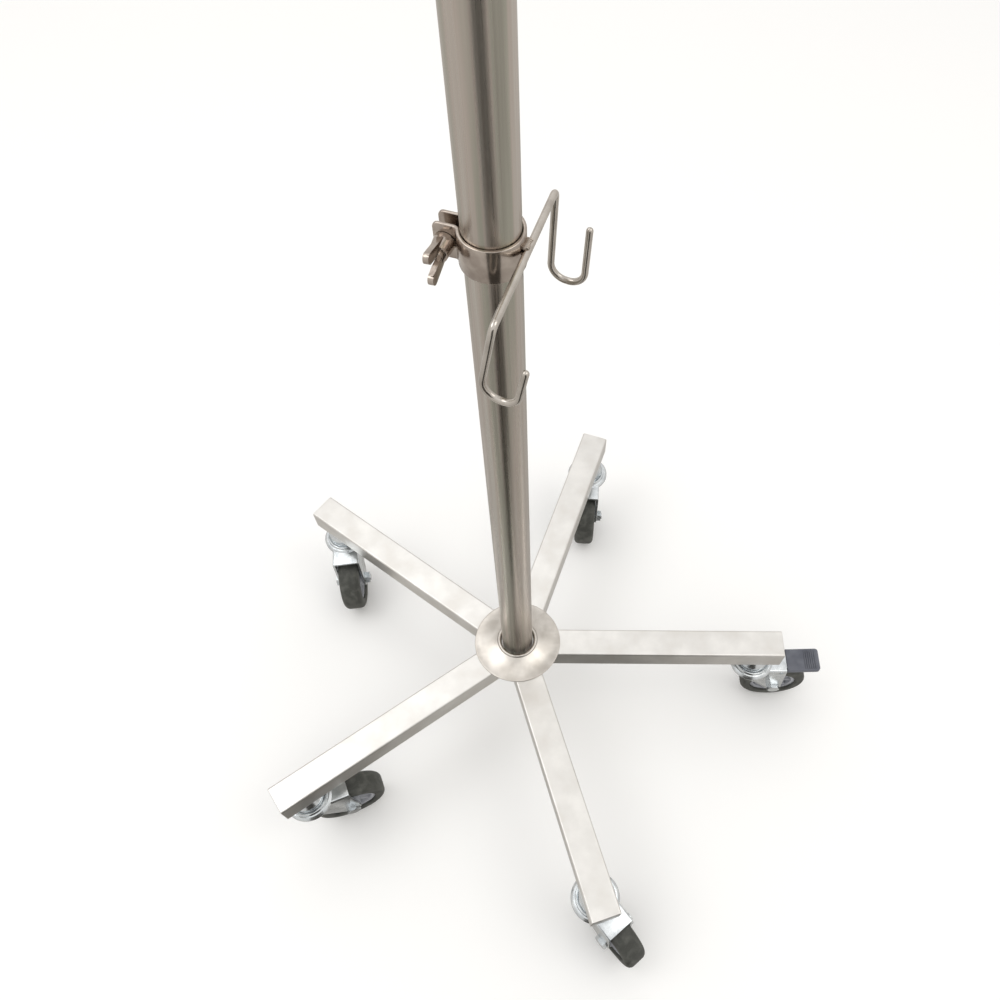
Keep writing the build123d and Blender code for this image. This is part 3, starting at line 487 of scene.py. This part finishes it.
class StandSizes(bpy.types.PropertyGroup):
    """Sizes of the details that the CAD frame doesn't hold."""
    tube_edge: length_property("Tube edge", 0.35, "Radius at the ends of the round tubes")
    cover_sheet: length_property("Cover sheet", 1.2, "Thickness of the spun cover")
    cover_lip: length_property("Cover lip", 4.2, "Width and height of the roll round the cover's hole")
    cover_drop: length_property("Cover drop", 1.4, "Height of the lip's top over the cover's slope")
    band_sheet: length_property("Band sheet", 2.0, "Thickness of the clamp band")
    band_gap: length_property("Band gap", 0.3, "Gap between the pole and the clamp band")
    ear_reach: length_property("Ear reach", 30.5, "Distance from the pole's axis to the ears' ends")
    wire_radius: length_property("Wire radius", 2.1, "Half the thickness of the hook wire")
    hook_weld: length_property("Hook weld", 8.0, "Length of the weld between wire and band")
    band_flare: length_property("Band flare", 3.5, "Radius where the clamp band turns into its ears")
    ear_corner: length_property("Ear corner", 3.2, "Corner radius of the clamp's ears")
    ear_spacing: length_property("Ear spacing", 9.0, "Distance between the middles of the two ears")
    weld_width: length_property("Weld width", 4.2, "Width of the weld beads")
    weld_ripple: length_property("Weld ripple", 1.2, "Spacing of the ripples in a weld bead")
    weld_proud: length_property("Weld proud", 0.6, "Distance of an arm's weld beads outside the hub's corner")
    tyre_shoulder: length_property("Tyre shoulder", 6.0, "Radius between a tyre's tread and its sides")
    tyre_line: length_property("Tyre mould line", 0.18, "Height of the mould line round each tyre")
    tyre_step: length_property("Tyre step", 1.6, "Width of the step where a tyre meets its rim")
    tyre_sunk: length_property("Tyre sunk", 0.7, "Depth of the step where a tyre meets its rim")
    fork_edge: length_property("Fork edge", 0.5, "Edge radius of the pressed forks")
    rim_edge: length_property("Rim edge", 0.35, "Edge radius of the moulded rims")
    pedal_edge: length_property("Pedal edge", 0.5, "Edge radius of the pedal and its ribs")
    knob_edge: length_property("Knob edge", 1.0, "Edge radius of the hand knob")
    screw_edge: length_property("Screw edge", 0.2, "Edge radius of the clamp screw")
    nut_edge: length_property("Wing nut edge", 1.2, "Edge radius of the cast wing nut")
    collar_edge: length_property("Collar edge", 0.4, "Edge radius of the lock collar")
    head_edge: length_property("Hook head edge", 0.5, "Edge radius of the hook head")
    camera_lens: bpy.props.FloatProperty(name="Lens", default=30.15, min=1.0,
                                         description="Focal length in mm")


# ---------------------------------------------------------------- the stage
def soft_light(name, size, power, place_at, aim, tint):
    """A square soft box: its side in metres, its power in watts, and the spot that it faces."""
    lamp = bpy.data.lights.new(name, "AREA")
    lamp.shape = "SQUARE"
    lamp.size = size
    lamp.energy = power
    lamp.color = linear(tint)[:3]
    holder = bpy.data.objects.new(name, lamp)
    holder.matrix_world = Matrix.Translation(place_at) @ \
        (Vector(aim) - Vector(place_at)).to_track_quat("-Z", "Y").to_matrix().to_4x4()
    bpy.context.scene.collection.objects.link(holder)
    return holder


def plain_material(name, code, roughness):
    """Matt paint or paper, with a barely visible unevenness."""
    material, tree = blank_material(name)
    grain = pattern(tree, 40 * MM, detail=2.0)
    shader = add_node(tree, "ShaderNodeBsdfPrincipled", values={"Base Color": linear(code)}, links={
        "Roughness": level(tree, grain, roughness, roughness + 0.05)})
    return close_material(material, shader)


def panel_mesh(name, width, height, matrix, material):
    """A flat rectangle for the stage, drawn on the XY plane and then placed."""
    shape = bmesh.new()
    bmesh.ops.create_grid(shape, x_segments=1, y_segments=1, size=0.5,
                          matrix=matrix @ Matrix.Diagonal((width, height, 1, 1)))
    mesh = bpy.data.meshes.new(name)
    shape.to_mesh(mesh)
    shape.free()
    mesh.materials.append(material)
    made = bpy.data.objects.new(name, mesh)
    bpy.context.scene.collection.objects.link(made)
    return made


def room_light():
    """World light: bright overhead, greyer towards the horizon and below it."""
    world = bpy.data.worlds.new("soft_room")
    world.use_nodes = True
    tree = world.node_tree
    tree.nodes.clear()
    direction = add_node(tree, "ShaderNodeTexCoord").outputs["Generated"]
    height = add_node(tree, "ShaderNodeSeparateXYZ", links={"Vector": direction}).outputs["Z"]
    half = add_node(tree, "ShaderNodeMath", {"operation": "MULTIPLY_ADD"}, {1: 0.5, 2: 0.5},
                    {0: height}).outputs[0]
    tone = ramp(tree, half, [(0.0, linear("#BDBAB5")), (0.25, linear("#D8D5D1")), (0.5, linear("#E2DFDB")),
                             (0.95, linear("#FBFAF9"))])
    light = add_node(tree, "ShaderNodeBackground", values={"Strength": 1.02}, links={"Color": tone})
    add_node(tree, "ShaderNodeOutputWorld", links={"Surface": light.outputs[0]})
    bpy.context.scene.world = world


class STAND_OT_stage(bpy.types.Operator):
    """Set up the pale floor, the soft lights and the camera"""
    bl_idname = "stand.stage"
    bl_label = "Stage"

    def execute(self, context):
        colours = context.scene.stand_colours
        paper = plain_material("white_paper_floor", colours.floor, roughness=0.75)
        floor = panel_mesh("studio_floor", width=40, height=40, matrix=Matrix.Identity(4), material=paper)
        floor.visible_glossy = False
        # a dark board in front, seen only in reflections, gives the round tubes their dark streak
        board_place = Matrix.Translation((0.10, -0.75, -0.55)) @ Matrix.Rotation(math.pi / 2, 4, "X")
        velvet = plain_material("grey_velvet_board", "#55534F", roughness=0.9)
        board = panel_mesh("dark_reflection_board", width=0.6, height=3.1, matrix=board_place,
                           material=velvet)
        board.visible_camera = board.visible_diffuse = board.visible_shadow = False
        room_light()
        soft_light("soft_box_left", size=1.0, power=5.5, place_at=(-1.1, 0.0, 2.0),
                   aim=(0, 0, 0.1), tint="#FFFFFF")
        soft_light("soft_box_right", size=1.0, power=4.5, place_at=(1.1, -0.2, 2.0),
                   aim=(0, 0, 0.1), tint="#FFFDF8")
        soft_light("soft_box_back", size=1.1, power=2.0, place_at=(-0.45, 1.0, 2.2),
                   aim=(-0.15, 0, 0), tint="#FFFFFF")
        self.add_camera(context)
        context.scene.view_settings.view_transform = "Standard"
        return {"FINISHED"}

    def add_camera(self, context):
        """Camera above the stand's top half, looking steeply down at the base."""
        stand, aim, roll = Vector((0.0294, -0.3483, 0.9776)), Vector((0.0482, 0.1166, 0.1324)), 2.59
        forward = (aim - stand).normalized()
        right = forward.cross(Vector((0, 0, 1))).normalized()
        up = right.cross(forward)
        turn = math.radians(roll)
        across = math.cos(turn) * right + math.sin(turn) * up
        above = -math.sin(turn) * right + math.cos(turn) * up
        lens = bpy.data.cameras.new("stand_camera")
        lens.lens = context.scene.stand_sizes.camera_lens
        lens.sensor_width = 36
        lens.shift_x, lens.shift_y = -0.062, 0.0477      # moves the stand right and down in the frame
        lens.clip_start = 0.02
        camera = bpy.data.objects.new("stand_camera", lens)
        facing = Matrix((across, above, -forward)).transposed().to_4x4()
        camera.matrix_world = Matrix.Translation(stand) @ facing
        context.scene.collection.objects.link(camera)
        context.scene.camera = camera


# ---------------------------------------------------------------- pole and cover
def round_tube(node, edge):
    """A smooth tube over a CAD tube's length, with eased ends; its bore comes from the CAD mesh."""
    low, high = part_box(node)
    outer = high.x
    inner = min(Vector((v.co.x, v.co.y)).length for v in frame["nodes"][node].data.vertices)
    section = [(outer, low.z), (outer, high.z), (inner, high.z), (inner, low.z)]
    return ease(spun(section, steps=128), edge, least=60)


class STAND_OT_poles(bpy.types.Operator):
    """Build the two telescoping tubes of the pole"""
    bl_idname = "stand.poles"
    bl_label = "Poles"

    def execute(self, context):
        edge = context.scene.stand_sizes.tube_edge
        piece("lower_pole", round_tube("outer_pole", edge), "pole_steel", "base", "outer_pole")
        piece("upper_pole", round_tube("inner_pole", edge), "pole_steel", "mast", "inner_pole")
        give_finish("zinc_steel", "pole_plug", "base_washer", "base_bolt")
        give_finish("black_plastic", "guide_bush")
        return {"FINISHED"}


class STAND_OT_cover(bpy.types.Operator):
    """Build the spun cover that hides the hub, with its rolled lip"""
    bl_idname = "stand.cover"
    bl_label = "Pole cover"

    def execute(self, context):
        sizes = context.scene.stand_sizes
        sheet = sizes.cover_sheet
        low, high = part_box("pole_cover")
        hole = min(Vector((v.co.x, v.co.y)).length for v in frame["nodes"]["pole_cover"].data.vertices)
        rim, lip = high.x, sizes.cover_lip
        foot = hole + lip
        rise = high.z - low.z - sheet - sizes.cover_drop
        edge = rim - sheet / 2
        steps = 14
        slope = [(edge - (edge - foot) * step / steps, low.z + rise * (step / steps) ** SLOPE_POWER)
                 for step in range(steps + 1)]
        outline = [(radius, height + sheet) for radius, height in slope]
        outline += arc((hole + lip / 2, high.z - lip / 2), lip / 2, 0, 180, 12)
        outline += [(hole, high.z - lip - sheet), (hole + sheet, high.z - lip - sheet)]
        outline += reversed(slope)
        outline += arc((edge, low.z + sheet / 2), sheet / 2, -90, 90, 6)[1:-1]
        piece("spun_pole_cover", spun(outline, steps=160), "spun_steel", "base", "pole_cover")
        return {"FINISHED"}


# ---------------------------------------------------------------- base
class STAND_OT_base(bpy.types.Operator):
    """Finish the hub and the five arms, and lay their weld beads"""
    bl_idname = "stand.base"
    bl_label = "Base"

    def execute(self, context):
        sizes = context.scene.stand_sizes
        for number in CASTERS:
            give_finish("arm_steel", f"base_arm_{number}")
        give_finish("arm_steel", "base_hub", "arm_end_plates")
        give_finish("zinc_steel", "caster_stems", "stem_nuts", "top_races")
        hub_low, hub_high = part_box("base_hub")
        hub_radius = (hub_high.x - hub_low.x) / 2
        height = hub_high.z - hub_low.z
        half_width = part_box("base_arm_1")[1].y
        along = math.sqrt(hub_radius ** 2 - half_width ** 2) + sizes.weld_proud
        for number in CASTERS:
            turn = Matrix.Rotation((number - 1) * TURN / len(CASTERS), 4, "Z")
            seams = bmesh.new()
            for side in (-1, 1):
                corner = Matrix.Translation((along, side * half_width, hub_low.z + height / 2))
                upright = corner @ Matrix.Rotation(math.pi / 2, 4, "Y")
                seam = bead(height * WELD_SHARE, sizes.weld_width, sizes.weld_ripple, number)
                add_shape(seams, place(seam, upright))
            piece(f"arm_weld_{number}", place(seams, turn), "arm_steel", "base", material="weld_steel")
        return {"FINISHED"}


# ---------------------------------------------------------------- hook clamp
def band_line(radius, spacing, flare, reach):
    """Plan of the clamp band's middle line: one ear, round the pole, and the other ear."""
    half = spacing / 2
    turn_at = -math.sqrt((radius + flare) ** 2 - (half + flare) ** 2)
    lean = math.degrees(math.atan2(half + flare, turn_at))
    first = [(-reach, half)] + arc((turn_at, half + flare), flare, -90, lean - 180, 6)
    ring = arc((0, 0), radius, lean, -lean, 72)
    last = [(x, -y) for x, y in reversed(first)]
    return first + ring[1:-1] + last


class STAND_OT_clamp(bpy.types.Operator):
    """Build the hook clamp: its band, wire hooks, weld, screw and wing nut"""
    bl_idname = "stand.clamp"
    bl_label = "Hook clamp"

    def execute(self, context):
        sizes = context.scene.stand_sizes
        self.add_band(sizes)
        self.add_wire(sizes)
        eased_piece("clamp_screw_round", "clamp_screw", sizes.screw_edge, "fitting_steel", "hook_clamp")
        eased_piece("wing_nut_cast", "wing_nut", sizes.nut_edge, "fitting_steel", "wing_nut")
        return {"FINISHED"}

    def add_band(self, sizes):
        """Folded sheet band, its edges tumbled round."""
        pole_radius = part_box("outer_pole")[1].x
        low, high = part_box("clamp_band")
        inner = pole_radius + sizes.band_gap
        reach = sizes.ear_reach
        line = band_line(inner + sizes.band_sheet / 2, sizes.ear_spacing, sizes.band_flare, reach)
        shape = bmesh.new()
        points = [shape.verts.new((x, y, 0)) for x, y in line]
        for pair in zip(points, points[1:]):
            shape.edges.new(pair)
        raised = bmesh.ops.extrude_edge_only(shape, edges=shape.edges[:])["geom"]
        bmesh.ops.translate(shape, vec=(0, 0, high.z - low.z),
                            verts=[v for v in raised if isinstance(v, bmesh.types.BMVert)])
        corners = [v for v in shape.verts if abs(v.co.x + reach) < MM / 10]
        bmesh.ops.bevel(shape, geom=corners, offset=sizes.ear_corner, offset_type="OFFSET", segments=6,
                        profile=0.5, affect="VERTICES", material=-1, clamp_overlap=True)
        bmesh.ops.recalc_face_normals(shape, faces=shape.faces[:])
        band = piece("clamp_band_folded", place(shape, clamp_place()), "fitting_steel", "hook_clamp",
                     "clamp_band")
        wall = band.modifiers.new("sheet", "SOLIDIFY")
        wall.thickness = sizes.band_sheet
        wall.offset = 0
        wall.use_even_offset = True
        edge = band.modifiers.new("tumbled edges", "BEVEL")
        edge.width = sizes.band_sheet * EDGE_SHARE
        edge.segments = 3
        edge.angle_limit = math.radians(50)

    def add_wire(self, sizes):
        """Bent wire hooks and the bead that holds them to the band."""
        give_finish("wire_steel", "hook_wire")
        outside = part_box("outer_pole")[1].x + sizes.band_gap + sizes.band_sheet
        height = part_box("hook_wire")[1].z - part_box("clamp_band")[0].z - sizes.wire_radius
        seam = bmesh.new()
        for rise, phase in ((sizes.wire_radius, 1), (-sizes.wire_radius, 4)):
            spot = Matrix.Translation((outside + sizes.wire_radius / 2, 0, height + rise)) \
                @ Matrix.Rotation(math.pi / 2, 4, "Z")
            add_shape(seam, place(bead(sizes.hook_weld, sizes.weld_width, sizes.weld_ripple, phase), spot))
        piece("hook_weld", place(seam, clamp_place()), "fitting_steel", "hook_clamp", material="weld_steel")


# ---------------------------------------------------------------- top of the pole
class STAND_OT_top(bpy.types.Operator):
    """Build the lock collar, its knob, the hook head and the bag hooks"""
    bl_idname = "stand.top"
    bl_label = "Lock and bag hooks"

    def execute(self, context):
        sizes = context.scene.stand_sizes
        eased_piece("lock_collar_eased", "lock_collar", sizes.collar_edge, "fitting_steel", "base")
        eased_piece("lock_knob_lobed", "lock_knob", sizes.knob_edge, "black_plastic", "lock_knob")
        eased_piece("hook_head_turned", "hook_head", sizes.head_edge, "fitting_steel", "mast")
        give_finish("fitting_steel", "bag_hooks", "lock_screw")
        return {"FINISHED"}


# ---------------------------------------------------------------- casters
def tyre_outline(radius, bore, width, sizes):
    """Section of a tyre with round shoulders and a fine mould line round the middle of its tread."""
    half, shoulder = width / 2, sizes.tyre_shoulder
    tread = radius - sizes.tyre_line * 0.4           # the mould line is worn to 0.4 of its height
    foot, crest = 0.7 * MM, 0.25 * MM                # half its width where it starts and at its top
    lower = arc((tread - shoulder, -half + shoulder), shoulder, -90, 0, 10)
    upper = arc((tread - shoulder, half - shoulder), shoulder, 0, 90, 10)
    ridge = [(tread, -foot), (radius, -crest), (radius, crest), (tread, foot)]
    sunk = half - sizes.tyre_sunk
    side = [(bore + sizes.tyre_step, half), (bore + sizes.tyre_step * 0.6, sunk), (bore, sunk)]
    return lower + ridge + upper + side + [(x, -z) for x, z in reversed(side)]


class STAND_OT_casters(bpy.types.Operator):
    """Build the five swivel casters: pressed fork, axle, moulded rim and tyre"""
    bl_idname = "stand.casters"
    bl_label = "Casters"

    def execute(self, context):
        sizes = context.scene.stand_sizes
        for number in CASTERS:
            eased_piece(f"pressed_fork_{number}", f"swivel_fork_{number}", sizes.fork_edge, "zinc_steel",
                        f"caster_{number}", least=35, segments=2)
            give_finish("zinc_steel", f"axle_set_{number}")
            give_finish("bearing_steel", f"swivel_balls_{number}")
            eased_piece(f"moulded_rim_{number}", f"wheel_rim_{number}", sizes.rim_edge, "rim_plastic",
                        f"wheel_{number}", segments=2)
            self.add_tyre(number, sizes)
        give_finish("zinc_steel", "brake_pin", "brake_lever")
        eased_piece("ribbed_pedal", "brake_pedal", sizes.pedal_edge, "pedal_plastic", "brake", segments=2)
        return {"FINISHED"}

    def add_tyre(self, number, sizes):
        """One tyre, sized from its CAD node."""
        mesh = frame["nodes"][f"tyre_{number}"].data
        flat = wheel_place(number).inverted()
        local = [flat @ v.co for v in mesh.vertices]
        radius = max(Vector((p.x, p.y)).length for p in local)
        bore = min(Vector((p.x, p.y)).length for p in local)
        width = 2 * max(p.z for p in local)
        shape = spun(tyre_outline(radius, bore, width, sizes), steps=96)
        piece(f"rubber_tyre_{number}", place(shape, wheel_place(number)), "grey_rubber",
              f"wheel_{number}", f"tyre_{number}")


# ---------------------------------------------------------------- panel and start
class STAND_PT_panel(bpy.types.Panel):
    """Lists the steps that build the stand"""
    bl_idname = "STAND_PT_panel"
    bl_label = "Infusion stand"
    bl_space_type = "VIEW_3D"
    bl_region_type = "UI"
    bl_category = "Stand"

    def draw(self, context):
        for step in STEPS:
            self.layout.operator(step.bl_idname)
        for group in (context.scene.stand_sizes, context.scene.stand_colours):
            for name in group.__annotations__:
                self.layout.prop(group, name)


STEPS = (STAND_OT_stage, STAND_OT_poles, STAND_OT_cover, STAND_OT_base, STAND_OT_clamp, STAND_OT_top,
         STAND_OT_casters)
CLASSES = (StandColours, StandSizes) + STEPS + (STAND_PT_panel,)


def register():
    for item in CLASSES:
        bpy.utils.register_class(item)
    bpy.types.Scene.stand_colours = bpy.props.PointerProperty(type=StandColours)
    bpy.types.Scene.stand_sizes = bpy.props.PointerProperty(type=StandSizes)


def unregister():
    del bpy.types.Scene.stand_sizes
    del bpy.types.Scene.stand_colours
    for item in reversed(CLASSES):
        bpy.utils.unregister_class(item)


def main():
    """Build the whole stand."""
    register()
    bpy.ops.stand.stage()
    bpy.ops.stand.poles()
    bpy.ops.stand.cover()
    bpy.ops.stand.base()
    bpy.ops.stand.clamp()
    bpy.ops.stand.top()
    bpy.ops.stand.casters()


if __name__ == "__main__":
    main()
